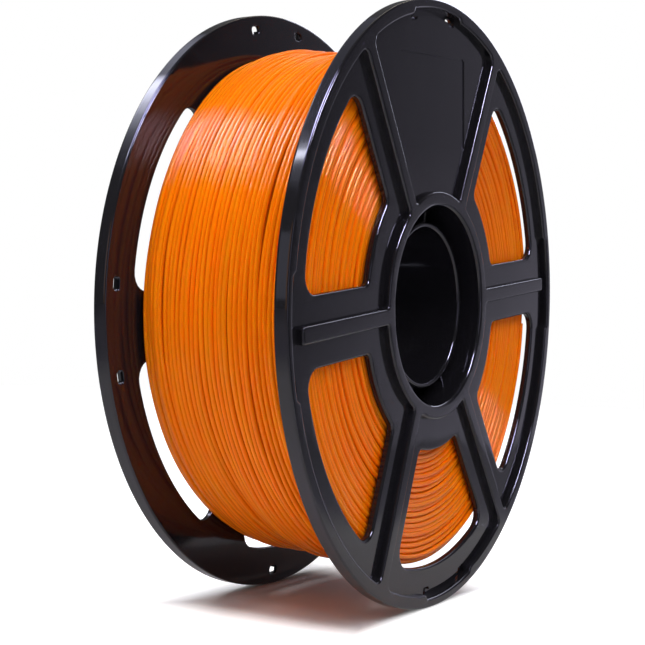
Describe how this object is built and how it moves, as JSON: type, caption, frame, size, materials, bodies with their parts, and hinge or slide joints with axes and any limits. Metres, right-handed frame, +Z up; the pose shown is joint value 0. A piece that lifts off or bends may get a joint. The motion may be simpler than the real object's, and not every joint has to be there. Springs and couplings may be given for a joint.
{
  "type": "filament spool",
  "caption": "Full spool of plastic filament for a desktop printer: windowed flanges on a hub with a plain bore for the holder's shaft.",
  "frame": {"origin": "centre of the spool, on the bore's axis and midway between the rims", "axes": "+Y along the bore from the front flange to the rear flange, +Z up with the spool standing on its rims"},
  "size_m": [0.2, 0.067, 0.2],
  "materials": {
    "spool_plastic": "glossy injection moulding",
    "filament": "smooth extruded strand with a soft gloss"
  },
  "bodies": {
    "root": {"front_flange": "spool_plastic", "rear_flange": "spool_plastic", "winding_drum": "spool_plastic", "bore_sleeve": "spool_plastic", "filament_pack": "filament", "filament_outer_turns": "filament"}
  },
  "joints": []
}
